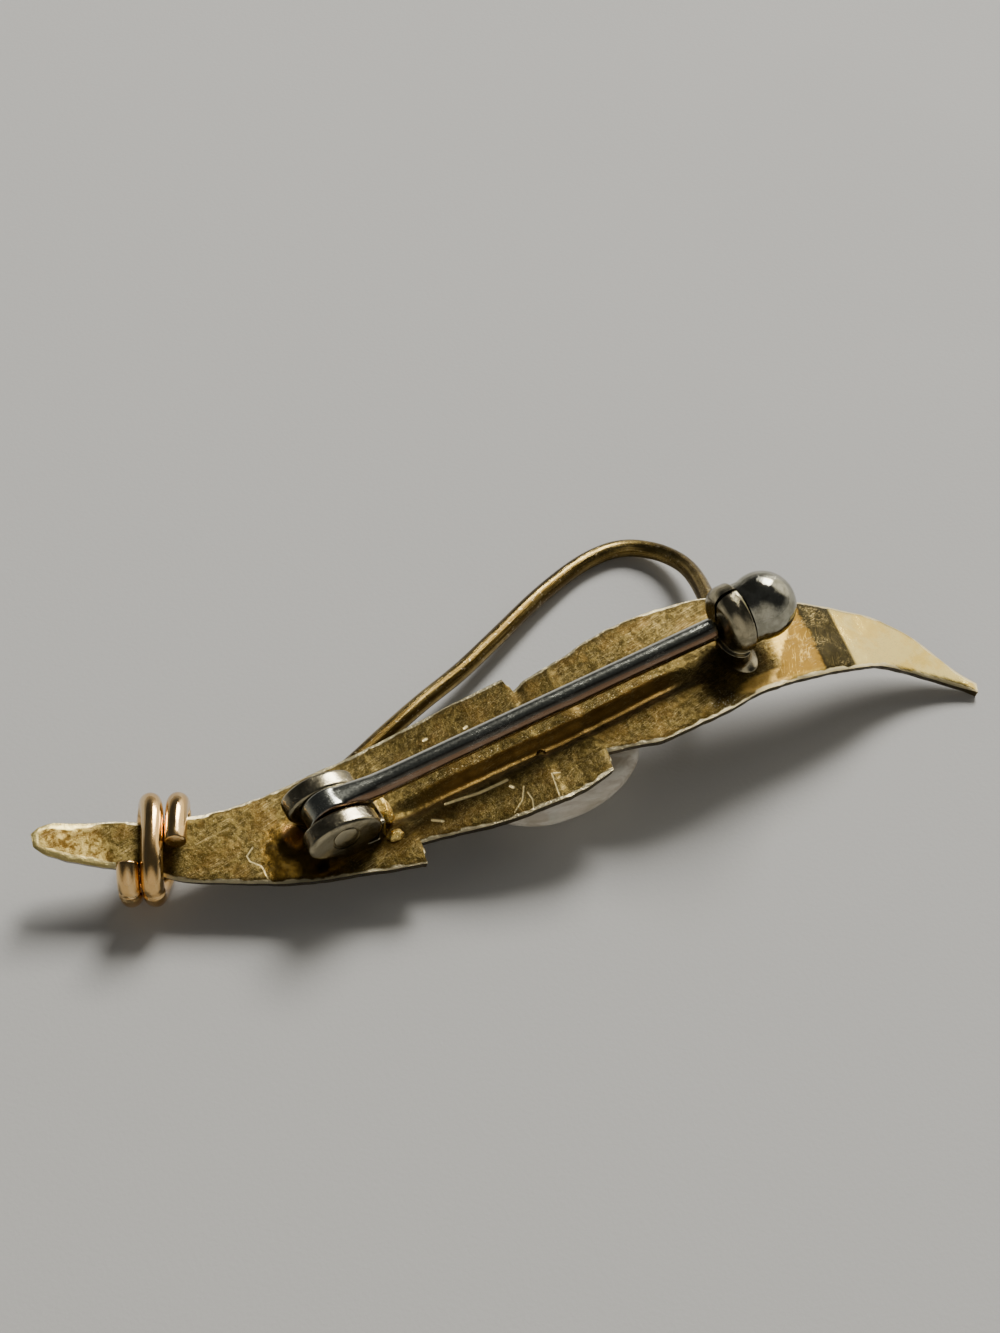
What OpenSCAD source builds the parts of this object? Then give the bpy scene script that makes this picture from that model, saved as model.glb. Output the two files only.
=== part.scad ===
// Pearl brooch lying face down, with its pin and safety catch uppermost.
// X runs along the pin stem from hinge to catch, Z is up, and Z = 0 is the surface it lies on.
// The far side is +Y and the near side is -Y.

/* [Blade] */
// Thickness of the gold sheet
sheet_t = 0.5; // [0.4:0.05:0.5]
// Depth of the midrib groove in the back
groove_depth = 0.4; // [0.1:0.05:0.4]
// Width of the midrib groove
groove_w = 1.6; // [1:0.1:2]
// Distance from the blade's middle line to the groove, towards the near side
groove_off = 1.0; // [0.6:0.1:1.4]
// Radius of the peg that holds the pearl
peg_r = 0.4; // [0.3:0.05:0.4]
// Length of the peg below the sheet
peg_l = 1.9; // [1.2:0.1:2]

/* [Pearl] */
// Length of the pearl along the blade
pearl_l = 8.8; // [8.4:0.1:9.2]
// Width of the pearl across the blade
pearl_w = 5.4; // [5.2:0.1:5.6]
// Thickness of the pearl
pearl_t = 3; // [2.8:0.05:3.05]
// Tilt of the pearl, following the sheet above it
pearl_tilt = 6; // [4:1:7]
// Radius of the hole drilled in the pearl
pearl_hole_r = 0.45; // [0.45:0.01:0.6]

/* [Tendril] */
// Diameter of the tendril wire
tendril_d = 0.98; // [0.9:0.02:0.98]

/* [Binding coil] */
// Diameter of the binding wire
coil_d = 1.14; // [1:0.02:1.16]
// Width of the coil over its wires
coil_w = 6; // [6:0.05:6.3]
// Height of the coil over its wires
coil_h = 4.25; // [4.25:0.05:4.4]
// Gap between one turn and the next
coil_gap = 0.05; // [0.05:0.01:0.1]

/* [Hinge] */
// Length of the oval ears
ear_l = 4; // [3.6:0.1:4.2]
// Height of the oval ears
ear_h = 2.5; // [2.3:0.05:2.6]
// Thickness of one ear
ear_t = 1.1; // [0.8:0.05:1.2]
// Gap between an ear and the eye
ear_gap = 0.08; // [0.05:0.01:0.12]
// Height of the rivet's axis above the blade
rivet_z = 1.6; // [1.55:0.05:1.75]
// Radius of the rivet
rivet_r = 0.4; // [0.3:0.02:0.5]
// Radius of the rivet's heads
rivet_head_r = 0.65; // [0.5:0.05:0.8]

/* [Pin] */
// Radius of the pin's flat round eye
eye_r = 1.4; // [1.2:0.02:1.42]
// Thickness of the eye
eye_t = 1.3; // [1.3:0.05:1.4]
// Diameter of the pin stem
stem_d = 1.22; // [1.1:0.02:1.24]
// Diameter of the stem where it leaves the eye
neck_d = 1.3; // [1.26:0.02:1.3]
// Length of the thicker neck, from above the rivet
neck_l = 3.5; // [3:0.5:5]
// Slope of the stem, up towards the catch
stem_pitch = 5.6; // [5.4:0.1:6]
// Height of the stem's axis above the rivet's axis
stem_rise = 0.45; // [0.4:0.05:0.5]
// Radius of the point where it lies in the catch
point_r = 0.12; // [0.1:0.01:0.12]
// Length of the shoulder between the stem and the point
shoulder_l = 0.3; // [0.2:0.1:1.5]

/* [Catch] */
// Radius of the fixed ring
ring_r = 1.88; // [1.8:0.02:2]
// Length of the fixed ring along the pin
ring_l = 1.25; // [1.2:0.05:1.5]
// Radius of the ring's bore
ring_bore_r = 1.02; // [1.02:0.01:1.1]
// Radial clearance of the turning sleeve in the ring
lock_clear = 0.04; // [0.03:0.01:0.06]
// Wall of the turning sleeve
sleeve_wall = 0.28; // [0.24:0.01:0.28]
// Width of the mouth through which the pin enters
mouth_w = 0.33; // [0.33:0.01:0.4]
// Distance from the catch's axis to the pin's axis, towards the far side
mouth_off = 0.25; // [0.2:0.01:0.26]
// Height of the catch's axis above the pin's axis
catch_rise = 0.39; // [0.2:0.01:0.4]
// Radius of the ball knob
ball_r = 1.8; // [1.7:0.02:1.9]
// Radius of the collar beside the ball
collar_r = 1.66; // [1.6:0.02:1.7]

/* [Hidden] */
$fn = 64;

// Columns of the blade's table.
MIDDLE = 1;
TOP = 2;
FAR = 3;
NEAR = 4;

// Blade sections: station along X, Y of the middle line, height of the back, width to the far and near edge.
blade_rows = [
    [-24.55,  2.20, 3.50, 0.40, 0.35],
    [-24.25,  2.05, 3.45, 0.80, 0.60],
    [-23.65,  1.80, 3.35, 1.05, 0.85],
    [-22.25,  1.10, 3.10, 1.20, 1.10],
    [-20.95,  0.45, 2.95, 1.40, 1.30],
    [-19.45, -0.35, 2.75, 1.50, 1.35],
    [-17.95, -1.05, 2.60, 1.80, 1.80],
    [-16.45, -1.65, 2.50, 2.10, 2.05],
    [-14.95, -2.15, 2.45, 2.50, 2.35],
    [-13.45, -2.55, 2.45, 2.85, 2.80],
    [-11.95, -2.80, 2.45, 3.20, 3.20],
    [-10.45, -2.95, 2.50, 3.45, 3.50],
    [ -8.95, -3.05, 2.55, 3.55, 3.95],
    [ -7.40, -3.10, 2.70, 3.60, 4.45],
    [ -7.15, -3.10, 2.70, 3.65, 3.20],
    [ -6.15, -3.10, 2.80, 3.70, 3.40],
    [ -3.95, -3.15, 3.15, 3.80, 4.00],
    [ -1.95, -3.25, 3.45, 3.95, 4.35],
    [  0.55, -3.40, 3.90, 4.05, 4.50],
    [  0.80, -3.45, 3.90, 3.10, 4.50],
    [  1.65, -3.50, 4.05, 3.40, 4.40],
    [  3.05, -3.55, 4.30, 3.60, 4.15],
    [  3.30, -3.55, 4.30, 3.60, 3.00],
    [  4.45, -3.55, 4.45, 3.70, 3.35],
    [  6.05, -3.50, 4.65, 3.95, 3.90],
    [  8.05, -3.45, 4.85, 4.00, 4.00],
    [ 10.05, -3.50, 4.95, 3.90, 3.90],
    [ 12.05, -3.65, 4.95, 3.70, 3.50],
    [ 14.05, -3.95, 4.75, 3.20, 3.15],
    [ 16.05, -4.40, 4.40, 2.75, 2.75],
    [ 18.05, -4.85, 3.85, 2.30, 2.30],
    [ 20.05, -5.35, 3.05, 1.85, 1.80],
    [ 21.55, -6.10, 2.20, 1.40, 1.35],
    [ 22.85, -7.20, 1.35, 0.90, 0.85],
    [ 23.85, -8.25, 0.80, 0.50, 0.45],
    [ 24.65, -9.05, 0.55, 0.10, 0.10]
];

// The blade leans towards the near side at its stem end: station, angle.
lean_rows = [[-25, 8], [-18, 8], [-12, 0], [25, 0]];

// The groove along the blade: station, share of the full depth.
groove_rows = [[-25, 0], [-9.2, 0], [-6.5, 1], [8.4, 1], [10, 0], [25, 0]];

// The tendril from its start inside the coil to its end beside the pearl: X, Y, height of the wire's middle.
tendril_rows = [
    [-20.85,  0.35, 1.80],
    [-19.55, -0.30, 1.71],
    [-17.45, -0.95, 1.56],
    [-14.45, -0.90, 1.35],
    [-11.45, -0.40, 1.35],
    [ -8.45,  0.55, 1.40],
    [ -5.35,  1.90, 1.40],
    [ -2.70,  3.00, 1.40],
    [  0.25,  4.15, 1.30],
    [  3.35,  5.70, 1.10],
    [  6.65,  7.40, 0.85],
    [  9.65,  8.65, 0.60],
    [ 11.65,  9.00, 0.55],
    [ 13.05,  8.75, 0.55],
    [ 14.10,  7.85, 0.70],
    [ 14.70,  6.60, 1.00],
    [ 14.85,  5.05, 1.45],
    [ 14.45,  3.05, 2.10],
    [ 13.65,  0.95, 2.85],
    [ 12.35, -0.95, 3.40],
    [ 10.65, -2.55, 3.70],
    [  8.95, -3.75, 3.70]
];

// Places of the parts on the blade, X and Y.
pearl_at = [1.6, -4.8];
peg_at = [0.75, -4.55];
hinge_at = [-10.82, -3.55];
coil_x = -19.2;

// Depth to which a soldered foot sinks into the sheet.
sink = 0.1;

// Values read from the tables.
function row(t, x, i = 0) = i >= len(t) - 2 || x < t[i + 1][0] ? i : row(t, x, i + 1);
function mix(a, b, k) = a + (b - a) * k;
function linear(t, x, c = 1) =
    let (i = row(t, x), k = (x - t[i][0]) / (t[i + 1][0] - t[i][0]))
    mix(t[i][c], t[i + 1][c], min(1, max(0, k)));
function blade(x, c) = linear(blade_rows, x, c);

// Direction across the blade, square to its middle line.
turn_span = 0.6;
function turn(x) = atan((blade(x + turn_span, MIDDLE) - blade(x - turn_span, MIDDLE)) / (2 * turn_span));
function across(x) = [-sin(turn(x)), cos(turn(x)), 0];
function lean(x) = tan(linear(lean_rows, x));

// A point on the blade's back: station and distance across, far side positive.
function groove_at(x, d) =
    let (k = abs(d + groove_off) / (groove_w / 2))
    k >= 1 ? 0 : groove_depth * linear(groove_rows, x) * (1 + cos(180 * k)) / 2;
function back(x, d) =
    [x, blade(x, MIDDLE), blade(x, TOP)] + d * across(x) + [0, 0, d * lean(x) - groove_at(x, d)];

// Skins a list of rings that all have the same number of points, and closes both ends.
module skin(rings) {
    n = len(rings[0]);
    last = (len(rings) - 1) * n;
    points = [for (r = rings) each r];
    sides = [for (i = [0:n:last - n], j = [0:n - 1])
        let (a = i + j, b = i + (j + 1) % n)
        each [[a, b, b + n], [a, b + n, a + n]]];
    polyhedron(points, concat(sides, [[for (j = [n - 1:-1:0]) j], [for (j = [0:n - 1]) last + j]]));
}

// A smooth curve through the rows of a route.
function spline(a, b, c, d, t) =
    0.5 * (2 * b + (c - a) * t + (2 * a - 5 * b + 4 * c - d) * t * t + (3 * b - a - 3 * c + d) * t * t * t);
function smooth(rows, steps) = let (m = len(rows) - 1) [
    for (i = [0:m - 1], k = [0:steps - 1])
        spline(rows[max(i - 1, 0)], rows[i], rows[i + 1], rows[min(i + 2, m)], k / steps),
    rows[m]
];

// Round wire along a path, with flat cut ends.
function unit(v) = v / norm(v);
function heading(path, i) = unit(path[min(i + 1, len(path) - 1)] - path[max(i - 1, 0)]);
function wire_ring(p, dir, r, sides) =
    let (u = unit(cross(dir, [0.03, 0.02, 1])), v = cross(u, dir))
    [for (j = [0:sides - 1]) p + r * (u * cos(360 * j / sides) + v * sin(360 * j / sides))];
module wire(path, d, sides) {
    skin([for (i = [0:len(path) - 1]) wire_ring(path[i], heading(path, i), d / 2, sides)]);
}

// The leaf blade in one sheet, with the peg that is soldered to its front.
long_step = 0.9;
stations = [
    for (i = [0:len(blade_rows) - 2])
        let (a = blade_rows[i][0], b = blade_rows[i + 1][0], n = b - a > long_step ? 2 : 1)
        for (k = [0:n - 1]) mix(a, b, k / n),
    blade_rows[len(blade_rows) - 1][0]
];
function section(x) =
    let (far = blade(x, FAR), near = -blade(x, NEAR), e = groove_w / 2,
         lip = max(near * 0.9, -groove_off - e), deep = max(near * 0.5, -groove_off))
    [near, mix(near, lip, 0.5), lip, mix(lip, deep, 0.5), deep,
     max(near * 0.25, -groove_off + e / 2), max(near * 0.1, -groove_off + e), far * 0.5, far];
peg_end = blade(peg_at[0], TOP) - sheet_t - peg_l;
module leaf() {
    color("darkgoldenrod") {
        skin([for (x = stations) let (ds = section(x)) concat(
            [for (d = ds) back(x, d)],
            [for (i = [len(ds) - 1:-1:0]) back(x, ds[i]) - [0, 0, sheet_t]]
        )]);
        translate([peg_at[0], peg_at[1], peg_end])
            cylinder(r = peg_r, h = peg_l + sheet_t / 2 - groove_depth);
    }
}

// The pearl, drilled from the side that meets the leaf.
pearl_z = norm([pearl_t * cos(pearl_tilt), pearl_l * sin(pearl_tilt)]) / 2;
module pearl() {
    color("ivory")
        difference() {
            translate([pearl_at[0], pearl_at[1], pearl_z])
                rotate([0, -pearl_tilt, 0])
                    scale([pearl_l / pearl_t, pearl_w / pearl_t, 1])
                        sphere(d = pearl_t);
            translate([peg_at[0], peg_at[1], peg_end - 0.1])
                cylinder(r = pearl_hole_r, h = pearl_t + peg_l);
        }
}

// The curling tendril in front of the leaf, which shows past its far edge.
module tendril() {
    color("goldenrod") wire(smooth(tendril_rows, 3), tendril_d, 10);
}

// Nearly two turns of wire that bind the tendril to the leaf's stem end, both cut ends on the back.
coil_start = 125;
coil_end = 820;
coil_step = 13.9;
coil_shift = 0.27;

// The upper half of a turn is squarer than the lower half.
coil_squareness = 0.74;
function rounded(v, a) = sign(v) * pow(abs(v), sin(a) > 0 ? coil_squareness : 1);

// The wire runs nearly straight on the back and steps to the next turn on the front: angle, turns along.
coil_rows = [[125, -0.97], [230, -0.92], [440, -0.01], [600, 0.1], [700, 0.93], [820, 0.97]];
function coil_out(a) = (coil_w - coil_d) / 2 * rounded(cos(a), a) + coil_shift;
function coil_up(a) = (coil_h - coil_d) / 2 * rounded(sin(a), a) + coil_out(a) * lean(coil_x) / 2;
function coil_along(a) = linear(coil_rows, a) * (coil_d + coil_gap);
coil_z = coil_d / 2 - min([for (a = [coil_start:coil_step:coil_end]) coil_up(a)]);
function coil_point(a) =
    [coil_x, blade(coil_x, MIDDLE), coil_z + coil_up(a)] + coil_out(a) * across(coil_x)
        + coil_along(a) * [cos(turn(coil_x)), sin(turn(coil_x)), 0];
module binding_coil() {
    color("peru") wire([for (a = [coil_start:coil_step:coil_end]) coil_point(a)], coil_d, 12);
}

// Hinge: two oval ears on a base plate, and a low web that stops the pin.
plate_t = 0.2;
foot_z = blade(hinge_at[0], TOP) - sink;
hinge_z = blade(hinge_at[0], TOP) + rivet_z;
ear_in = eye_t / 2 + ear_gap;
ear_out = ear_in + ear_t;
module across_hinge(r, y0, y1, x = 0, z = 0) {
    translate([hinge_at[0] + x, hinge_at[1] + y0, hinge_z + z])
        rotate([-90, 0, 0])
            cylinder(r = r, h = y1 - y0);
}
module hinge_block(x0, x1, y0, y1, z0, z1) {
    translate([hinge_at[0] + x0, hinge_at[1] + y0, z0])
        cube([x1 - x0, y1 - y0, z1 - z0]);
}
module ear(y0, y1) {
    drop = 0.15;
    heel = 1;
    straight = (ear_l - ear_h) / 2;
    half_h = ear_h / 2 - 0.01;
    across_hinge(ear_h / 2, y0, y1, -straight, -drop);
    across_hinge(ear_h / 2, y0, y1, straight, -drop);
    hinge_block(-straight, straight, y0, y1, hinge_z - drop - half_h, hinge_z - drop + half_h);
    hinge_block(-heel, ear_l / 2, y0, y1, foot_z, hinge_z - ear_h / 2);
}
module hinge_joint() {
    web_t = 0.4;
    web_h = 1.45;
    web_x = ear_l / 2 - 0.1;
    heel = 0.8;
    inset = 0.3;
    foot_y = ear_out - inset;
    color("silver")
        difference() {
            union() {
                ear(ear_in, ear_out);
                ear(-ear_out, -ear_in);
                hinge_block(-heel, web_x + web_t / 2, -foot_y, foot_y, foot_z, foot_z + plate_t);
                hinge_block(web_x, web_x + web_t, -foot_y, foot_y, foot_z, foot_z + web_h);
            }
            across_hinge(rivet_r, -ear_out - 1, ear_out + 1);
        }
}

// The rivet, headed over both ears.
module hinge_rivet() {
    head_t = 0.16;
    color("gainsboro") {
        across_hinge(rivet_r, -ear_out - head_t / 2, ear_out + head_t / 2);
        across_hinge(rivet_head_r, -ear_out - head_t, -ear_out);
        across_hinge(rivet_head_r, ear_out, ear_out + head_t);
    }
}

// The pin's own frame: origin on the stem's axis above the rivet, X along the stem.
seam_x = 23.4;
ring_x = seam_x - ring_l;
module along_pin(x, y = 0, z = 0) {
    translate([hinge_at[0], hinge_at[1], hinge_z + stem_rise])
        rotate([0, -stem_pitch, 0])
            translate([x, y, z])
                rotate([0, 90, 0])
                    children();
}
module along_catch(x) {
    along_pin(x, -mouth_off, catch_rise) children();
}

// The pin: a flat round eye, a straight stem and a fine point inside the catch.
module pin_stem() {
    point_x = seam_x - 0.15;
    blunt = 0.2;
    shoulder_x = ring_x - 0.12 - shoulder_l;
    color("lightgray")
        difference() {
            union() {
                across_hinge(eye_r, -eye_t / 2, eye_t / 2);
                along_pin(0)
                    rotate_extrude()
                        polygon([[0, 0], [neck_d / 2, 0], [stem_d / 2, neck_l], [stem_d / 2, shoulder_x],
                                 [point_r, shoulder_x + shoulder_l],
                                 [point_r, point_x - blunt], [point_r / 2, point_x], [0, point_x]]);
            }
            across_hinge(rivet_r + 0.05, -stem_d, stem_d);
        }
}

// A cut as wide as the mouth, straight up from the pin's line: start and length along the pin.
module mouth(x, l) {
    along_catch(x)
        translate([-3, mouth_off - mouth_w / 2, 0])
            cube([3, mouth_w, l]);
}

// Fixed part of the catch: a slotted ring with a softened rim on an oval, waisted foot.
foot_at = [12.2, -4.3];
module oval_foot(x, r, l, h) {
    straight = l / 2 - r;
    side = r - 0.01;
    translate([x, foot_at[1], blade(foot_at[0], TOP) - sink]) {
        translate([0, -straight, 0]) cylinder(r = r, h = h);
        translate([0, straight, 0]) cylinder(r = r, h = h);
        translate([-side, -straight, 0]) cube([2 * side, 2 * straight, h]);
    }
}
module catch_ring() {
    soft = 0.3;
    chamfer = 0.1;
    waist_back = 0.24;
    color("silver")
        difference() {
            union() {
                along_catch(ring_x)
                    rotate_extrude()
                        polygon([[0, 0], [ring_r - soft, 0], [ring_r - soft / 3, soft / 3], [ring_r, soft],
                                 [ring_r, ring_l - chamfer], [ring_r - chamfer, ring_l], [0, ring_l]]);
                oval_foot(x = foot_at[0], r = 0.95, l = 3.2, h = 0.28);
                oval_foot(x = foot_at[0] - waist_back, r = 0.56, l = 2.5, h = 1.1);
            }
            along_catch(ring_x - 1) cylinder(r = ring_bore_r, h = ring_l + 2);
            mouth(ring_x - 1, ring_l + 2);
        }
}

// Turning part of the catch: a slotted sleeve in the ring, a collar and a ball knob.
module catch_lock() {
    sleeve_r = ring_bore_r - lock_clear;
    collar_x = seam_x + 0.08;
    collar_l = 0.6;
    ball_x = collar_x + 1.25;
    color("lightgray") {
        difference() {
            along_catch(ring_x + 0.1) cylinder(r = sleeve_r, h = ring_l + 0.3);
            along_catch(ring_x - 1) cylinder(r = sleeve_r - sleeve_wall, h = ring_l + 1.04);
            mouth(ring_x - 1, ring_l + 1.04);
        }
        along_catch(collar_x) cylinder(r = collar_r, h = collar_l);
        difference() {
            along_catch(ball_x) sphere(r = ball_r);
            along_catch(collar_x - ball_r) cylinder(r = ball_r, h = ball_r + 0.1);
        }
    }
}

leaf();
pearl();
tendril();
binding_coil();
hinge_joint();
hinge_rivet();
pin_stem();
catch_ring();
catch_lock();
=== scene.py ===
"""A pearl brooch lying face down, with its pin and its turning catch uppermost."""
from math import asin, atan, copysign, cos, degrees, hypot, pi, radians, sin, tan, tau

import bmesh
import bpy
from mathutils import Matrix, Vector, noise


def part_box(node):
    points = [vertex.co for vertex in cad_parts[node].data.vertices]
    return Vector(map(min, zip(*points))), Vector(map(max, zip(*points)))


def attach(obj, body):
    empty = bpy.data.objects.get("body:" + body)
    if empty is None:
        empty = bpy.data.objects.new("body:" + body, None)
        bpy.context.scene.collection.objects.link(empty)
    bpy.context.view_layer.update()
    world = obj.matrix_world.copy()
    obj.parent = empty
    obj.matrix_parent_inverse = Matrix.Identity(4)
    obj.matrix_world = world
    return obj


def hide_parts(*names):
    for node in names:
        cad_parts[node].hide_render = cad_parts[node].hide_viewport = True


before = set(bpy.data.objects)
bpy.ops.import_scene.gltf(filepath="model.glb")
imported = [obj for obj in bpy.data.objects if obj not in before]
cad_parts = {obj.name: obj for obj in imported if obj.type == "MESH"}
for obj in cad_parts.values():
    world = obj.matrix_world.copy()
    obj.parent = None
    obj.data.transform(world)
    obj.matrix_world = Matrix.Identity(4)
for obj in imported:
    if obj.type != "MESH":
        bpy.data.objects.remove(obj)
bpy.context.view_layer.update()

# Pieces are modelled in millimetres and brought to metres when they are finished. WELD joins the doubles of
# a new form, MERGE and SLIVER clear a finished one, VOXEL is the fineness of a fused skin, and a cut runs by
# PAST beyond what it cuts.
MM = 0.001
WELD = 0.0005
MERGE = 0.002
SLIVER = 0.0001
PAST = 3.0
VOXEL = 0.045
shift = Matrix.Translation
UPRIGHT = Matrix.Rotation(-pi / 2, 4, "Y")

# Camera, at the photograph's viewing angle.
CAMERA_AZIMUTH = -27.5
CAMERA_ELEVATION = 48.0
CAMERA_TARGET = (1.61, 2.13, 3.0)
CAMERA_DISTANCE = 141.0
CAMERA_LENS = 72.19
SENSOR_WIDTH = 36
CAMERA_CLIP = (0.005, 10)

# Gold sheet of the leaf.
SHEET_T = 0.5
GROOVE_DEPTH = 0.4
GROOVE_HALF = 0.8
GROOVE_OFF = 1.0
EDGE_ROUND = 0.08

# Unevenness of the sheet: its edges wander, its face waves and its rim is burnished down.
EDGE_WANDER = 0.05
EDGE_PITCH = 1.5
FACE_WAVE = 0.035
FACE_PITCH = (0.45, 0.6)
FAR_SEED, NEAR_SEED, FACE_SEED = 9.0, 2.0, 3.0
RIM_DROP = 0.09
RIM_REACH = 0.4

# Station along X, Y of the middle line, height of the back, width to the far edge, width to the near edge.
BLADE_ROWS = [
    (-24.55, 2.2, 3.5, 0.4, 0.35),
    (-24.25, 2.05, 3.45, 0.8, 0.6),
    (-23.65, 1.8, 3.35, 1.05, 0.85),
    (-22.25, 1.1, 3.1, 1.2, 1.1),
    (-20.95, 0.45, 2.95, 1.4, 1.3),
    (-19.45, -0.35, 2.75, 1.5, 1.35),
    (-17.95, -1.05, 2.6, 1.8, 1.8),
    (-16.45, -1.65, 2.5, 2.1, 2.05),
    (-14.95, -2.15, 2.45, 2.5, 2.35),
    (-13.45, -2.55, 2.45, 2.85, 2.8),
    (-11.95, -2.8, 2.45, 3.2, 3.2),
    (-10.45, -2.95, 2.5, 3.45, 3.5),
    (-8.95, -3.05, 2.55, 3.55, 3.95),
    (-7.4, -3.1, 2.7, 3.6, 4.45),
    (-7.15, -3.1, 2.7, 3.65, 3.2),
    (-6.15, -3.1, 2.8, 3.7, 3.4),
    (-3.95, -3.15, 3.15, 3.8, 4.0),
    (-1.95, -3.25, 3.45, 3.95, 4.35),
    (0.55, -3.4, 3.9, 4.05, 4.5),
    (0.8, -3.45, 3.9, 3.1, 4.5),
    (1.65, -3.5, 4.05, 3.4, 4.4),
    (3.05, -3.55, 4.3, 3.6, 4.15),
    (3.3, -3.55, 4.3, 3.6, 3.0),
    (4.45, -3.55, 4.45, 3.7, 3.35),
    (6.05, -3.5, 4.65, 3.95, 3.9),
    (8.05, -3.45, 4.85, 4.0, 4.0),
    (10.05, -3.5, 4.95, 3.9, 3.9),
    (12.05, -3.65, 4.95, 3.7, 3.5),
    (14.05, -3.95, 4.75, 3.2, 3.15),
    (16.05, -4.4, 4.4, 2.75, 2.75),
    (18.05, -4.85, 3.85, 2.3, 2.3),
    (20.05, -5.35, 3.05, 1.85, 1.8),
    (21.55, -6.1, 2.2, 1.4, 1.35),
    (22.85, -7.2, 1.35, 0.9, 0.85),
    (23.85, -8.25, 0.8, 0.5, 0.45),
    (24.65, -9.05, 0.55, 0.32, 0.3),
]
MIDDLE, TOP, FAR, NEAR = 1, 2, 3, 4
LEAN_ROWS = [(-25, 8), (-18, 8), (-12, 0), (25, 0)]
GROOVE_ROWS = [(-25, 0), (-9.2, 0), (-6.5, 1), (8.4, 1), (10, 0), (25, 0)]

# The tendril's wire from inside the coil to beside the pearl: X, Y, height of its middle.
TENDRIL_ROWS = [
    (-20.85, 0.35, 1.8), (-19.55, -0.3, 1.71), (-17.45, -0.95, 1.56), (-14.45, -0.9, 1.35),
    (-11.45, -0.4, 1.35), (-8.45, 0.55, 1.4), (-5.35, 1.9, 1.4), (-2.7, 3.0, 1.4),
    (0.25, 4.15, 1.3), (3.35, 5.7, 1.1), (6.65, 7.4, 0.85), (9.65, 8.65, 0.6),
    (11.65, 9.0, 0.55), (13.05, 8.75, 0.55), (14.1, 7.85, 0.7), (14.7, 6.6, 1.0),
    (14.85, 5.05, 1.45), (14.45, 3.05, 2.1), (13.65, 0.95, 2.85), (12.35, -0.95, 3.4),
    (10.65, -2.55, 3.7), (8.95, -3.75, 3.7),
]
TENDRIL_D = 0.98

# Pearl and its peg, and the small pit in the leaf's back beside the peg.
PEARL_AT = (1.6, -4.8)
PEARL_SIZE = (8.8, 5.4, 3.0)
PEARL_TILT = 6.0
PEG_AT = (0.75, -4.55)
PEG_R = 0.4
PEG_L = 1.9
PEG_FRAME = shift((*PEG_AT, 0)) @ UPRIGHT
PEARL_HOLE_R = 0.45
PEARL_LUMP = 0.02
LUMP_SEED = Vector((4.0, 1.0, 2.0))
PIT_PROFILE = [(-0.25, 0), (-0.25, 0.16), (-0.1, 0.26), (1, 0.3), (1, 0)]
PIT_BACK = 0.25

# Binding wire: its rows are an angle of the winding and the turns along the blade.
COIL_X = -19.2
COIL_D = 1.14
COIL_W = 6.0
COIL_H = 4.25
COIL_GAP = 0.05
COIL_SQUARE = 0.74
COIL_SHIFT = 0.27
COIL_STEPS = 130
COIL_ROWS = [(125, -0.97), (230, -0.92), (440, -0.01), (600, 0.1), (700, 0.93), (820, 0.97)]

# Hinge, pin and catch.
SINK = 0.1
EAR_L = 4.0
EAR_H = 2.5
EAR_T = 1.1
EAR_GAP = 0.08
EAR_DROP = 0.15
WEB_T = 0.4
WEB_H = 1.45
PLATE_T = 0.2
RIVET_Z = 1.6
RIVET_R = 0.4
RIVET_HEAD_R = 0.65
EYE_R = 1.27
EYE_T = 1.3
STEM_PITCH = 5.6
STEM_RISE = 0.45
STEM_R = 0.61
NECK_R = 0.65
NECK_L = 3.5
NECK_RISE = 0.15
NECK_RISE_L = 2.4
NECK_SQUARE = 6
EYE_BACK = 1.1
POINT_R = 0.09
RING_L = 1.25
SEAM_X = 23.4
RING_X = SEAM_X - RING_L
RING_R = 1.88
BORE_R = 1.02
SLEEVE_R = 0.98
SLEEVE_WALL = 0.28
MOUTH_W = 0.21
MOUTH_OFF = 0.25
CATCH_RISE = 0.39
FOOT_AT = (12.2, -4.3)
FOOT_PROFILE = [(0, 0), (0, 0.93), (0.12, 0.92), (0.24, 0.84), (0.4, 0.77), (0.6, 0.74), (0.9, 0.76),
                (1.4, 0.86), (1.4, 0)]
FOOT_WIDEN = 1.6
FOOT_LEAN = 0.4
FOOT_LEAN_Z = 0.7
COLLAR_X = SEAM_X + 0.08
COLLAR_R = 1.66
BALL_X = COLLAR_X + 1.25
BALL_R = 1.8


# Modelling helpers.

def take(piece):
    """Leaves edit mode and makes one piece the only selected one."""
    if bpy.context.mode != "OBJECT":
        bpy.ops.object.mode_set(mode="OBJECT")
    bpy.ops.object.select_all(action="DESELECT")
    piece.select_set(True)
    bpy.context.view_layer.objects.active = piece
    return piece


def named(name):
    """The piece that has just been added, under its own name."""
    piece = bpy.context.object
    piece.name = piece.data.name = name
    return take(piece)


def open_edit(piece, mode="VERT", action="DESELECT"):
    """Opens a piece in edit mode with nothing or all of it selected."""
    take(piece)
    bpy.ops.object.mode_set(mode="EDIT")
    bpy.ops.mesh.select_mode(type=mode)
    bpy.ops.mesh.select_all(action=action)


def pick(piece, test, kind="verts"):
    """Selects the vertices, edges or faces that pass a test."""
    mesh = bmesh.from_edit_mesh(piece.data)
    for part in getattr(mesh, kind):
        part.select_set(bool(test(part)))
    if kind == "verts":
        mesh.select_flush_mode()
    bmesh.update_edit_mesh(piece.data)


def close_edit(piece):
    bpy.ops.object.mode_set(mode="OBJECT")
    return piece


def outward(piece):
    """Merges doubles and turns all faces outwards."""
    open_edit(piece, action="SELECT")
    bpy.ops.mesh.remove_doubles(threshold=WELD)
    bpy.ops.mesh.normals_make_consistent(inside=False)
    return close_edit(piece)


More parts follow.
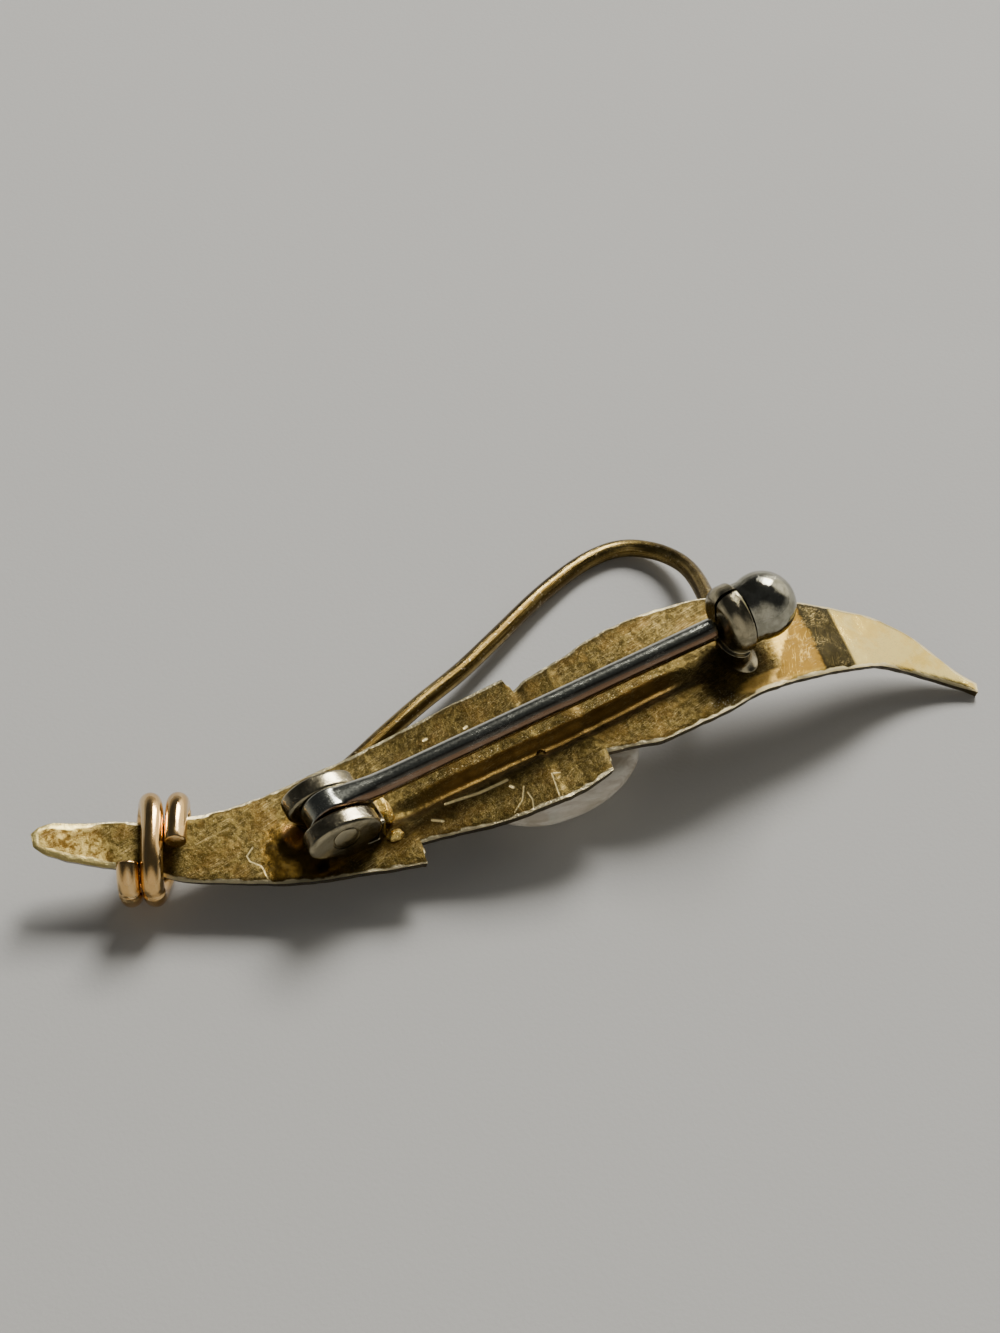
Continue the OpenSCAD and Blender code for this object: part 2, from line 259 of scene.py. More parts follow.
def place(piece, matrix):
    """Puts a piece in place and keeps the place in its mesh."""
    take(piece)
    piece.matrix_world = matrix @ piece.matrix_world
    bpy.ops.object.transform_apply(location=True, rotation=True, scale=True)
    return piece


def modify(piece, kind, **settings):
    """Adds a modifier and applies it."""
    take(piece)
    step = piece.modifiers.new(kind.lower(), kind)
    for key, value in settings.items():
        setattr(step, key, value)
    bpy.ops.object.modifier_apply(modifier=step.name)
    return piece


def soften(piece, width, angle=40, segments=3):
    """Rounds the sharp edges of a piece."""
    return modify(piece, "BEVEL", width=width, segments=segments, limit_method="ANGLE",
                  angle_limit=radians(angle), use_clamp_overlap=True)


def combine(piece, other, operation="DIFFERENCE"):
    """Cuts another solid away from a piece, or fuses it with it, and removes the other."""
    modify(piece, "BOOLEAN", operation=operation, solver="EXACT", object=other)
    bpy.data.objects.remove(other)
    return piece


def join(piece, *others):
    take(piece)
    for other in others:
        other.select_set(True)
    bpy.ops.object.join()
    return piece


def clear_slivers(piece):
    """Splits many-sided faces, merges doubles and dissolves faces that have no area."""
    open_edit(piece, "FACE")
    pick(piece, lambda face: len(face.verts) > 4, "faces")
    bpy.ops.mesh.quads_convert_to_tris(ngon_method="BEAUTY")
    bpy.ops.mesh.select_all(action="SELECT")
    bpy.ops.mesh.remove_doubles(threshold=MERGE)
    bpy.ops.mesh.dissolve_degenerate(threshold=SLIVER)
    return close_edit(piece)


def finish_piece(piece, slot, material, *nodes, body="brooch", angle=35):
    """Clears a finished piece, brings it to metres, smooths it and hands it to its body."""
    clear_slivers(piece)
    piece.data.transform(Matrix.Scale(MM, 4))
    bpy.ops.object.shade_smooth_by_angle(angle=radians(angle))
    piece.data.materials.clear()
    piece.data.materials.append(material)
    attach(piece, body)
    if nodes:
        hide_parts(*nodes)
    return piece


def block(name, low, high, soft=0.0):
    """A block between two corners, with softened edges."""
    low, high = Vector(low), Vector(high)
    bpy.ops.mesh.primitive_cube_add(size=1)
    piece = place(named(name), Matrix.LocRotScale((low + high) / 2, None, high - low))
    return soften(piece, soft) if soft else piece


def lathe(name, profile, steps, matrix=Matrix()):
    """A round solid about X of a frame: a profile of distances along and radii, spun by a full turn."""
    bpy.ops.mesh.primitive_circle_add(vertices=len(profile), radius=1)
    piece = named(name)
    for vertex, (along, radius) in zip(piece.data.vertices, profile):
        vertex.co = (along, 0, radius)
    open_edit(piece, "EDGE")
    pick(piece, lambda e: all(v.co.z < WELD for v in e.verts), "edges")
    bpy.ops.mesh.delete(type="EDGE")
    bpy.ops.mesh.select_all(action="SELECT")
    bpy.ops.mesh.spin(steps=steps, angle=tau, center=(0, 0, 0), axis=(1, 0, 0))
    close_edit(piece)
    return place(outward(piece), matrix)


def arc(middle, radius, first, last, steps):
    """Points of an arc in a profile, angles in degrees from the axis."""
    angles = [radians(first + (last - first) * i / steps) for i in range(steps + 1)]
    return [(middle[0] + radius * cos(a), middle[1] + radius * sin(a)) for a in angles]


def drill(piece, matrix, low, high, radius, steps=40):
    """Cuts a round hole between two distances along X of a frame."""
    bit = lathe("bit", [(low, 0), (low, radius), (high, radius), (high, 0)], steps, matrix)
    return combine(piece, bit)


def fuse(piece, rounds):
    """Fuses solids that meet into one skin, smoothed by some rounds."""
    modify(piece, "REMESH", mode="VOXEL", voxel_size=VOXEL, use_smooth_shade=True)
    return modify(piece, "SMOOTH", factor=0.6, iterations=rounds)


def shaped_grid(name, along_n, across_n, map_name, shape):
    """A grid of faces. A function of the counts along and across gives each vertex its place and its map."""
    bpy.ops.mesh.primitive_grid_add(x_subdivisions=along_n, y_subdivisions=across_n, size=1)
    piece = named(name)
    notes = []
    for vertex in piece.data.vertices:
        vertex.co, note = shape(round((vertex.co.x + 0.5) * along_n), round((vertex.co.y + 0.5) * across_n))
        notes.append(note)
    layer = piece.data.uv_layers[0]
    layer.name = map_name
    for loop in piece.data.loops:
        layer.data[loop.index].uv = notes[loop.vertex_index]
    return piece


# Values read from the tables.

def row_of(rows, x):
    i = 0
    while i < len(rows) - 2 and x >= rows[i + 1][0]:
        i += 1
    return i


def between(low, high, share):
    return low + (high - low) * share


def linear(rows, x, column=1):
    i = row_of(rows, x)
    share = (x - rows[i][0]) / (rows[i + 1][0] - rows[i][0])
    return between(rows[i][column], rows[i + 1][column], min(1, max(0, share)))


# A tooth is a short step of the outline, and the teeth lie near the blade's middle.
TOOTH = 0.3
TEETH_WITHIN = 10
TOOTH_SHAPE = (0, 0.13, 0.3, 0.44, 0.49, 0.52, 0.6, 0.8, 1)


def is_tooth(i):
    low, high = BLADE_ROWS[i][0], BLADE_ROWS[i + 1][0]
    return high - low < TOOTH and abs(low) < TEETH_WITHIN


def slope_at(i, column):
    """Slope of a column at a row: flat at a turning point, one-sided beside a tooth."""
    rises = []
    for k in (i - 1, i):
        if 0 <= k < len(BLADE_ROWS) - 1 and not is_tooth(k):
            low, high = BLADE_ROWS[k], BLADE_ROWS[k + 1]
            rises.append((high[column] - low[column]) / (high[0] - low[0]))
    if len(rises) == 1:
        return rises[0]
    first, second = rises
    return 0 if first * second <= 0 else 2 * first * second / (first + second)


def blade(x, column):
    """A smooth value between the blade's rows, stepped at the teeth."""
    i = row_of(BLADE_ROWS, x)
    low, high = BLADE_ROWS[i], BLADE_ROWS[i + 1]
    length = high[0] - low[0]
    share = min(1, max(0, (x - low[0]) / length))
    if is_tooth(i):
        spot = share * (len(TOOTH_SHAPE) - 1)
        k = min(int(spot), len(TOOTH_SHAPE) - 2)
        return between(low[column], high[column], between(TOOTH_SHAPE[k], TOOTH_SHAPE[k + 1], spot - k))
    s2, s3 = share ** 2, share ** 3
    return ((2 * s3 - 3 * s2 + 1) * low[column] + (3 * s2 - 2 * s3) * high[column]
            + length * ((s3 - 2 * s2 + share) * slope_at(i, column) + (s3 - s2) * slope_at(i + 1, column)))


TURN_SPAN = 0.6


def turn(x):
    """Angle of the middle line, seen from above."""
    rise = linear(BLADE_ROWS, x + TURN_SPAN) - linear(BLADE_ROWS, x - TURN_SPAN)
    return atan(rise / (2 * TURN_SPAN))


def lean(x):
    return tan(radians(linear(LEAN_ROWS, x)))


def groove_at(x, across):
    k = abs(across + GROOVE_OFF) / GROOVE_HALF
    return 0 if k >= 1 else GROOVE_DEPTH * linear(GROOVE_ROWS, x) * (1 + cos(pi * k)) / 2


def back(x, across):
    """A point on the blade's back: station and distance across, the far side positive."""
    return Vector((x - across * sin(turn(x)), blade(x, MIDDLE) + across * cos(turn(x)),
                   blade(x, TOP) + across * lean(x) - groove_at(x, across)))


def smooth_route(rows, steps):
    """A smooth curve through the rows of a route."""
    last = len(rows) - 1
    points = []
    for i in range(last):
        a, b, c, d = (Vector(rows[min(max(k, 0), last)]) for k in (i - 1, i, i + 1, i + 2))
        for k in range(steps):
            t = k / steps
            points.append(0.5 * (2 * b + (c - a) * t + (2 * a - 5 * b + 4 * c - d) * t * t
                                 + (3 * b - a - 3 * c + d) * t * t * t))
    return points + [Vector(rows[last])]


# The leaf.

LONG_STEP = 0.22
BANDS = (9, 14, 12)


def blade_stations():
    """Stations along the blade, close together at the teeth."""
    stations = []
    for i in range(len(BLADE_ROWS) - 1):
        low, high = BLADE_ROWS[i][0], BLADE_ROWS[i + 1][0]
        steps = len(TOOTH_SHAPE) - 1 if is_tooth(i) else max(1, round((high - low) / LONG_STEP))
        stations += [between(low, high, k / steps) for k in range(steps)]
    return stations + [BLADE_ROWS[-1][0]]


def blade_columns(x):
    """Distances across the blade at a station, close together in the groove."""
    near, far = -blade(x, NEAR), blade(x, FAR)
    groove_near = max(near * 0.9, -GROOVE_OFF - GROOVE_HALF)
    groove_far = max(near * 0.1, -GROOVE_OFF + GROOVE_HALF)
    columns = []
    for low, high, n in zip((near, groove_near, groove_far), (groove_near, groove_far, far), BANDS):
        columns += [between(low, high, j / n) for j in range(n)]
    return columns + [far]


def model_peg():
    """The pearl's peg, widened where it is soldered under the sheet."""
    soft = 0.08
    top = blade(PEG_AT[0], TOP) - GROOVE_DEPTH - SHEET_T / 2
    end = blade(PEG_AT[0], TOP) - SHEET_T - PEG_L
    profile = [(end, 0), (end, PEG_R - soft), (end + soft, PEG_R), (top - 0.75, PEG_R),
               (top - 0.25, PEG_R + 0.25), (top, PEG_R + 0.5), (top, 0)]
    return lathe("peg", profile, 32, PEG_FRAME)


def model_leaf():
    """The gold sheet with its toothed outline, groove, burnished edges, peg and pit."""
    stations = blade_stations()
    columns = [blade_columns(x) for x in stations]

    def shape(i, j):
        x, d = stations[i], columns[i][j]
        wander = EDGE_WANDER * noise.noise(Vector((x * EDGE_PITCH, FAR_SEED if d > 0 else NEAR_SEED, 0.0)))
        point = back(x, d + wander * min(1, abs(d)))
        inside = min(d - columns[i][0], columns[i][-1] - d, x - stations[0], stations[-1] - x)
        point.z += FACE_WAVE * noise.noise(Vector((x * FACE_PITCH[0], point.y * FACE_PITCH[1], FACE_SEED)))
        point.z -= RIM_DROP * max(0, 1 - inside / RIM_REACH) ** 2
        return point, (inside, d + GROOVE_OFF)

    sheet = shaped_grid("gold_leaf", len(stations) - 1, sum(BANDS), "rim_and_groove", shape)
    modify(sheet, "SOLIDIFY", thickness=SHEET_T, offset=-1, use_even_offset=False)
    soften(sheet, EDGE_ROUND, angle=55)
    pit_z = back(PEG_AT[0], PEG_AT[1] - blade(PEG_AT[0], MIDDLE)).z
    pit_frame = shift((PEG_AT[0] - PIT_BACK, PEG_AT[1], pit_z)) @ UPRIGHT
    combine(sheet, lathe("pit", PIT_PROFILE, 24, pit_frame))
    return join(sheet, model_peg())


# Wires. No wire runs along the direction ASKEW, so each ring of vertices can be turned from it.

ASKEW = Vector((0.03, 0.02, 1))
END_ROUND = 0.22


def model_wire(name, route, radius, sides):
    """Round wire along a route, with softened ends. Its map runs along and around it, in millimetres."""
    last = len(route) - 1
    along = [0.0]
    for first, second in zip(route, route[1:]):
        along.append(along[-1] + (second - first).length)

    def shape(i, j):
        heading = (route[min(i + 1, last)] - route[max(i - 1, 0)]).normalized()
        side = heading.cross(ASKEW).normalized()
        a = tau * j / sides
        return route[i] + radius * (side * cos(a) + side.cross(heading) * sin(a)), (along[i], a * radius)

    wire = shaped_grid(name, last, sides, "along_and_around", shape)
    open_edit(wire, action="SELECT")
    bpy.ops.mesh.remove_doubles(threshold=WELD)
    bpy.ops.mesh.select_all(action="DESELECT")
    bpy.ops.mesh.select_non_manifold()
    bpy.ops.mesh.fill_holes(sides=sides + 1)
    close_edit(wire)
    return soften(outward(wire), radius * END_ROUND, angle=60)


def coil_point(angle):
    """A point of the binding wire's middle at an angle of its winding."""
    a = radians(angle)
    power = COIL_SQUARE if sin(a) > 0 else 1
    wide, high = (copysign(abs(value) ** power, value) for value in (cos(a), sin(a)))
    out = (COIL_W - COIL_D) / 2 * wide + COIL_SHIFT
    up = (COIL_H - COIL_D) / 2 * high + out * lean(COIL_X) / 2
    along = linear(COIL_ROWS, angle) * (COIL_D + COIL_GAP)
    t = turn(COIL_X)
    return Vector((COIL_X - out * sin(t) + along * cos(t),
                   linear(BLADE_ROWS, COIL_X) + out * cos(t) + along * sin(t), up))


def coil_route():
    """The binding wire's route, smoothed twice, its lowest turn on the surface."""
    first, last = COIL_ROWS[0][0], COIL_ROWS[-1][0]
    points = [coil_point(between(first, last, i / COIL_STEPS)) for i in range(COIL_STEPS + 1)]
    for _ in range(2):
        inner = [(a + 2 * b + c) / 4 for a, b, c in zip(points, points[1:], points[2:])]
        points = [points[0], *inner, points[-1]]
    lift = COIL_D / 2 - min(p.z for p in points)
    return [p + Vector((0, 0, lift)) for p in points]


# The pearl.

def model_pearl():
    """A flat baroque pearl with slight lumps, tilted, set on the surface and drilled for the peg."""
    bpy.ops.mesh.primitive_uv_sphere_add(segments=96, ring_count=64, radius=0.5)
    pearl = named("pearl_bead")
    for vertex in pearl.data.vertices:
        lump = noise.noise(vertex.co * 3.1 + LUMP_SEED) + 0.4 * noise.noise(vertex.co * 8.0)
        vertex.co *= 1 - PEARL_LUMP + PEARL_LUMP * lump
    lie = Matrix.Rotation(-radians(PEARL_TILT), 4, "Y") @ Matrix.Diagonal((*PEARL_SIZE, 1))
    place(pearl, shift((*PEARL_AT, 0)) @ lie)
    place(pearl, shift((0, 0, -min(v.co.z for v in pearl.data.vertices))))
    hole_end = blade(PEG_AT[0], TOP) - SHEET_T - PEG_L - 0.1
    return drill(pearl, PEG_FRAME, hole_end, hole_end + PAST, PEARL_HOLE_R)


# Hinge, pin and catch. The pin's own frame has its origin on the stem's axis above the rivet, and X along
# the stem. The catch's frame is beside it, on the ring's axis.

rivet_low, rivet_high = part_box("hinge_rivet")
HINGE = (rivet_low + rivet_high) / 2 / MM
FOOT_Z = HINGE.z - RIVET_Z - SINK
PITCHED = Matrix.Rotation(-radians(STEM_PITCH), 4, "Y")
PIN_FRAME = shift(HINGE + Vector((0, 0, STEM_RISE))) @ PITCHED
CATCH_FRAME = PIN_FRAME @ shift((0, -MOUTH_OFF, CATCH_RISE))
ACROSS = shift(HINGE) @ Matrix.Rotation(pi / 2, 4, "Z")
EAR_IN = EYE_T / 2 + EAR_GAP
EAR_OUT = EAR_IN + EAR_T


def model_ear(y_low):
    """An oval ear with softened edges."""
    bpy.ops.mesh.primitive_circle_add(vertices=96, radius=1, fill_type="NGON", rotation=(pi / 2, 0, 0))
    ear = place(named("ear"), Matrix.Diagonal((EAR_L / 2, 1, EAR_H / 2, 1)))
    open_edit(ear, "FACE", "SELECT")
    bpy.ops.mesh.extrude_region_move(TRANSFORM_OT_translate={"value": (0, EAR_T, 0)})
    close_edit(ear)
    place(outward(ear), shift((HINGE.x, HINGE.y + y_low, HINGE.z - EAR_DROP)))
    return soften(ear, 0.2, angle=50, segments=4)


def model_hinge():
    """Two ears, the plate they stand on and the web that stops the pin, soldered into one."""
    inset, margin, soft = 0.3, 0.08, 0.1
    back_x, front_x = HINGE.x - 1.0, HINGE.x + 1.2
    web_x = HINGE.x + EAR_L / 2 - soft
    y_low, y_high = HINGE.y - EAR_OUT + inset, HINGE.y + EAR_OUT - inset
    hinge = model_ear(-EAR_OUT)
    hinge.name = hinge.data.name = "hinge_ears"
    solids = [model_ear(EAR_IN),
              block("plate", (back_x, y_low, FOOT_Z), (web_x + soft, y_high, FOOT_Z + PLATE_T)),
              block("web", (web_x, y_low, FOOT_Z), (web_x + WEB_T, y_high, FOOT_Z + WEB_H), soft)]
    for low in (HINGE.y - EAR_OUT, HINGE.y + EAR_IN):
        heel_top = (front_x, low + EAR_T - margin, HINGE.z - EAR_H / 2 + soft)
        solids.append(block("heel", (back_x, low + margin, FOOT_Z), heel_top, soft))
    fuse(join(hinge, *solids), 5)
    slot = block("slot", (HINGE.x - PAST, HINGE.y - EAR_IN, FOOT_Z + PLATE_T),
                 (web_x, HINGE.y + EAR_IN, HINGE.z + PAST))
    combine(hinge, slot)
    seat, recess_r = EAR_OUT - 0.1, RIVET_HEAD_R + 0.1
    profile = [(seat, 0), (seat, recess_r), (EAR_OUT + 1, recess_r + 0.1), (EAR_OUT + 1, 0)]
    for side in (-1, 1):
        side_frame = ACROSS @ Matrix.Diagonal((side, side, 1, 1))
        combine(hinge, lathe("recess", profile, 56, side_frame))
    return drill(hinge, ACROSS, -PAST, PAST, RIVET_R + 0.01)


def model_rivet():
    """A rivet with a low flat head on each side, sunk in the ears."""
    seat = EAR_OUT - 0.09
    head = [(seat, RIVET_HEAD_R), (seat + 0.05, RIVET_HEAD_R), (seat + 0.08, RIVET_HEAD_R - 0.03),
            (seat + 0.1, RIVET_HEAD_R - 0.2), (seat + 0.1, 0)]
    profile = [(-x, r) for x, r in reversed(head)] + [(-seat, RIVET_R), (seat, RIVET_R)] + head
    return lathe("rivet", profile, 48, ACROSS)


def shape_neck(stem):
    """Squares the neck and lifts it, so that it runs flat over the eye's top."""
    for vertex in stem.data.vertices:
        near = min(1, max(0, 1 - vertex.co.x / NECK_RISE_L))
        y, z = abs(vertex.co.y), abs(vertex.co.z)
        if near and (y or z):
            squared = hypot(y, z) / (y ** NECK_SQUARE + z ** NECK_SQUARE) ** (1 / NECK_SQUARE)
            vertex.co.yz *= 1 + (squared - 1) * near
        vertex.co.z += NECK_RISE * near


def model_eye():
    """The pin's flat round eye, its back drawn out a little."""
    half, rim, corner = EYE_T / 2, 0.1, 0.03
    profile = [(-half, 0), (-half, EYE_R - rim), (-half + corner, EYE_R - corner), (-half + rim, EYE_R),
               (half - rim, EYE_R), (half - corner, EYE_R - corner), (half, EYE_R - rim), (half, 0)]
    eye = lathe("eye", profile, 96, ACROSS)
    for vertex in eye.data.vertices:
        vertex.co.x += (EYE_BACK - 1) * min(0, vertex.co.x - HINGE.x)
    return eye


def model_pin():
    """The pin: its eye, a flat-topped neck, a straight stem and a fine point."""
    soft = 0.1
    shoulder_x, point_x = RING_X - 0.12, SEAM_X - 0.15
    stem = lathe("pin", [(-2 * soft, 0), (-2 * soft, NECK_R - soft), (-soft, NECK_R), (NECK_RISE_L, NECK_R),
                         (NECK_L, STEM_R), (shoulder_x - soft, STEM_R), (shoulder_x, STEM_R - soft),
                         (shoulder_x, 0)], 64)
    shape_neck(stem)
    place(stem, PIN_FRAME)
    fuse(join(stem, model_eye()), 8)
    root_x = shoulder_x - 0.3
    point = lathe("point", [(root_x, 0), (root_x, POINT_R), (point_x - 0.2, POINT_R),
                            (point_x - 0.06, POINT_R * 0.6), (point_x, 0)], 32, PIN_FRAME)
    combine(stem, point, "UNION")
    return drill(stem, ACROSS, -PAST, PAST, RIVET_R + 0.05)


def mouth_tool(start, length):
    """A cut as wide as the mouth, straight up from the pin's line."""
    y = MOUTH_OFF - MOUTH_W / 2
    return place(block("mouth", (start, y, 0), (start + length, y + MOUTH_W, PAST)), CATCH_FRAME)


def model_foot():
    """The catch's foot: waisted, wider across the leaf and leaning back as it rises."""
    foot_z = linear(BLADE_ROWS, FOOT_AT[0], TOP) - SINK
    foot_frame = Matrix.LocRotScale((*FOOT_AT, foot_z), None, (1, FOOT_WIDEN, 1)) @ UPRIGHT
    foot = lathe("foot", FOOT_PROFILE, 64, foot_frame)
    for vertex in foot.data.vertices:
        vertex.co.x -= FOOT_LEAN * min(1, (vertex.co.z - foot_z) / FOOT_LEAN_Z)
    return foot


def model_catch_ring():
    """The fixed ring, flowing into the foot that is soldered to the sheet."""
    shoulder, lip, rim = 0.72, 0.07, 0.08
    profile = [(RING_X, 0), (RING_X, RING_R - shoulder)]
    profile += arc((RING_X + shoulder, RING_R - shoulder), shoulder, 170, 95, 8)
    profile += [(RING_X + shoulder, RING_R), (SEAM_X - rim, RING_R), (SEAM_X, RING_R - rim), (SEAM_X, 0)]
    ring = lathe("catch_body", profile, 96, CATCH_FRAME)
    fuse(join(ring, model_foot()), 6)
    drill(ring, CATCH_FRAME, SEAM_X, SEAM_X + PAST, RING_R + 0.1, 64)
    drill(ring, CATCH_FRAME, RING_X + lip, SEAM_X + 1, BORE_R, 96)
    drill(ring, PIN_FRAME, RING_X - 1, SEAM_X - 1, POINT_R + 0.2)
    return combine(ring, mouth_tool(RING_X - 1, RING_L + 2))


def model_lock():
    """The turning part: a slotted sleeve, a collar, a fine seam and the ball knob."""
    sleeve_x, floor_x = RING_X + 0.1, COLLAR_X - 0.04
    bore_r = SLEEVE_R - SLEEVE_WALL
    start = 180 - degrees(asin(COLLAR_R / BALL_R))
    profile = [(floor_x, 0), (floor_x, bore_r), (sleeve_x, bore_r), (sleeve_x, SLEEVE_R),
               (COLLAR_X, SLEEVE_R), (COLLAR_X, COLLAR_R - 0.12), (COLLAR_X + 0.04, COLLAR_R - 0.03),
               (COLLAR_X + 0.13, COLLAR_R)]
    profile += arc((BALL_X, 0), BALL_R, start, 0, 28)
    lock = lathe("lock_knob", profile, 96, CATCH_FRAME)
    return combine(lock, mouth_tool(RING_X - 1, RING_L + 1.04))


def model_bead(name, middle, size, seed):
    """A bead of solder, lumpy and sunk into what it holds."""
    bpy.ops.mesh.primitive_ico_sphere_add(subdivisions=4, radius=1)
    bead = named(name)
    for vertex in bead.data.vertices:
        vertex.co *= 1 + BEAD_LUMP * noise.noise(vertex.co * BEAD_PITCH + Vector((seed, 0, 0)))
    return place(bead, Matrix.LocRotScale(middle, None, size))


BEAD_LUMP = 0.22
BEAD_PITCH = 1.4

# Solder beads: name, middle, half sizes and seed of the lumps.
SOLDER_ROWS = [
    ("solder_by_web", (-8.02, -3.7, 2.9), (0.4, 0.85, 0.42), 3),
    ("solder_by_ear", (-8.15, -5.3, 2.68), (0.42, 0.32, 0.28), 8),
]


# Camera, floor and light.

def direction(azimuth, elevation):
    """Unit vector from the object: azimuth 0 is straight in front, at -Y."""
    a, e = radians(azimuth), radians(elevation)
    return Vector((sin(a) * cos(e), -cos(a) * cos(e), sin(e)))


def aim(name, data, location, away):
    """Adds a camera or a lamp that looks back against a direction."""
    item = bpy.data.objects.new(name, data)
    bpy.context.scene.collection.objects.link(item)
    item.location = location
    item.rotation_mode = "QUATERNION"
    item.rotation_quaternion = (-away).to_track_quat("-Z", "Y")
    return item


def add_camera():
    away = direction(CAMERA_AZIMUTH, CAMERA_ELEVATION)
    data = bpy.data.cameras.new("camera")
    data.lens = CAMERA_LENS
    data.sensor_width = SENSOR_WIDTH
    data.clip_start, data.clip_end = CAMERA_CLIP
    location = (Vector(CAMERA_TARGET) + CAMERA_DISTANCE * away) * MM
    bpy.context.scene.camera = aim("camera", data, location, away)


def add_lamp(name, azimuth, elevation, distance, width, height, power, colour=(1, 1, 1)):
    """A soft rectangular lamp, aimed at the brooch."""
    away = direction(azimuth, elevation)
    data = bpy.data.lights.new(name, "AREA")
    data.shape = "RECTANGLE"
    data.size, data.size_y = width, height
    data.energy = power
    data.color = colour
    aim(name, data, away * distance, away)


# Materials. Their maps are in millimetres of the object's own frame.

class Bench:
    """Builds a node tree and keeps its colour and roughness so far."""

    def __init__(self, tree):
        self.tree = tree
        self.colour = self.rough = None

    def feed(self, socket, value):
        """Links a socket to another node, or sets its value."""
        if isinstance(value, bpy.types.NodeSocket):
            self.tree.links.new(value, socket)
        elif hasattr(value, "__len__") and len(value) == 3 and socket.type == "RGBA":
            socket.default_value = (*value, 1)
        else:
            socket.default_value = value

    def node(self, kind, values=(), **settings):
        node = self.tree.nodes.new("ShaderNode" + kind)
        for key, value in settings.items():
            setattr(node, key, value)
        for key, value in dict(values).items():
            self.feed(node.inputs[key], value)
        return node

    def math(self, operation, *values):
        return self.node("Math", enumerate(values), operation=operation).outputs[0]

    def plus(self, *values):
        return self.math("ADD", *values)

    def minus(self, *values):
        return self.math("SUBTRACT", *values)

    def most(self, *values):
        return self.math("MAXIMUM", *values)

    def times(self, first, *others):
        for other in others:
            first = self.math("MULTIPLY", first, other)
        return first

    def off(self, value, middle):
        """How far a value is from a middle one."""
        return self.math("ABSOLUTE", self.minus(value, middle))

    def vector(self, operation, *values):
        node = self.node("VectorMath", enumerate(values), operation=operation)
        return node.outputs["Value" if operation in ("LENGTH", "DOT_PRODUCT") else "Vector"]

    def point(self, *values):
        return self.node("CombineXYZ", enumerate(values)).outputs[0]

    def parts(self, vector):
        return self.node("SeparateXYZ", {0: vector}).outputs

    def given(self, kind):
        """A coordinate that every surface has."""
        return self.node("TexCoord").outputs[kind]

    def scaled(self, at, size):
        """A position divided by a size along each axis."""
        return self.vector("DIVIDE", at, size)

    def turned(self, at, angle):
        """A position turned so that a direction in plan comes to lie along X."""
        return self.node("VectorRotate", {"Vector": at, "Angle": radians(-angle)},
                         rotation_type="Z_AXIS").outputs[0]

    def plan(self, first, last):
        """The way from one position to another, in plan."""
        return self.vector("MULTIPLY", self.vector("SUBTRACT", last, first), (1, 1, 0))

    def noise(self, at, scale, detail=2.0, rough=0.5, warp=0.0):
        node = self.node("TexNoise", {"Vector": at, "Scale": scale, "Detail": detail, "Roughness": rough,
                                      "Distortion": warp})
        return node.outputs["Fac"]

    def sway(self, width, *noise):
        """Noise that goes to both sides of zero."""
        return self.times(self.minus(self.noise(*noise), 0.5), width)

    def step(self, value, low, high, first=0.0, last=1.0):
        """A smooth step from one value to another."""
        node = self.node("MapRange", {"Value": value, "From Min": low, "From Max": high,
                                      "To Min": first, "To Max": last}, interpolation_type="SMOOTHSTEP")
        return node.outputs["Result"]

    def fade(self, value, start, width):
        """A mask that is full up to a value and fades over a width."""
        return self.step(value, start, self.plus(start, width), 1.0, 0.0)

    def blend(self, share, first, second):
        """A colour between two others."""
        node = self.node("Mix", data_type="RGBA")
        for socket, value in ((node.inputs[0], share), (node.inputs[6], first), (node.inputs[7], second)):
            self.feed(socket, value)
        return node.outputs[2]

    def paint(self, tone, *masks):
        """Lays a tone over the colour so far, by the product of its masks."""
        self.colour = self.blend(self.times(*masks), self.colour, tone)

    def hone(self, mask, rough):
        """Brings the roughness so far to another one where a mask is full."""
        self.rough = self.step(mask, 0.0, 1.0, self.rough, rough)

    def use(self, group, **values):
        """Places a shared effect and gives its outputs."""
        node = self.node("Group", node_tree=group)
        for key, value in values.items():
            self.feed(node.inputs[key], value)
        return node.outputs

    def gives(self, **values):
        """Ends a shared effect with its outputs."""
        for key in values:
            self.tree.interface.new_socket(name=key, in_out="OUTPUT", socket_type="NodeSocketFloat")
        ends = self.tree.nodes.new("NodeGroupOutput").inputs
        for key, value in values.items():
            self.feed(ends[key], value)
        return self.tree


def shared(name, **takes):
    """The bench of a new shared effect and its inputs, which are vectors or numbers with a start value."""
    tree = Bench(bpy.data.node_groups.new(name, "ShaderNodeTree"))
    for key, value in takes.items():
        kind = "NodeSocketVector" if value is None else "NodeSocketFloat"
        socket = tree.tree.interface.new_socket(name=key, in_out="INPUT", socket_type=kind)
        if value is not None:
            socket.default_value = value
    return tree, *tree.tree.nodes.new("NodeGroupInput").outputs[:len(takes)]


def make_grain():
    """Uneven colour, fine grain and scattered specks of a worn surface."""
    tree, at, size = shared("surface grain", At=None, Size=1.0)
    at = tree.scaled(at, size)
    return tree.gives(Mottle=tree.step(tree.noise(at, 0.8, 5.0, 0.65), 0.34, 0.66),
                      Grain=tree.noise(at, 7.0, 3.0, 0.6),
                      Specks=tree.step(tree.noise(at, 3.6, 3.0, 0.7), 0.6, 0.68))


def make_hairlines():
    """Fine broken scratches that run one way."""
    tree, at, length, width, share = shared("hairlines", At=None, Length=3.0, Width=0.15, Share=0.5)
    lines = tree.noise(tree.scaled(at, tree.point(length, width, width)), 1.0, 2.0, 0.6)
    broken = tree.step(tree.noise(at, 0.9, 2.0), 0.42, 0.58)
    return tree.gives(Mask=tree.times(tree.step(tree.off(lines, 0.5), 0.0, 0.03, 1.0, 0.0), broken, share))


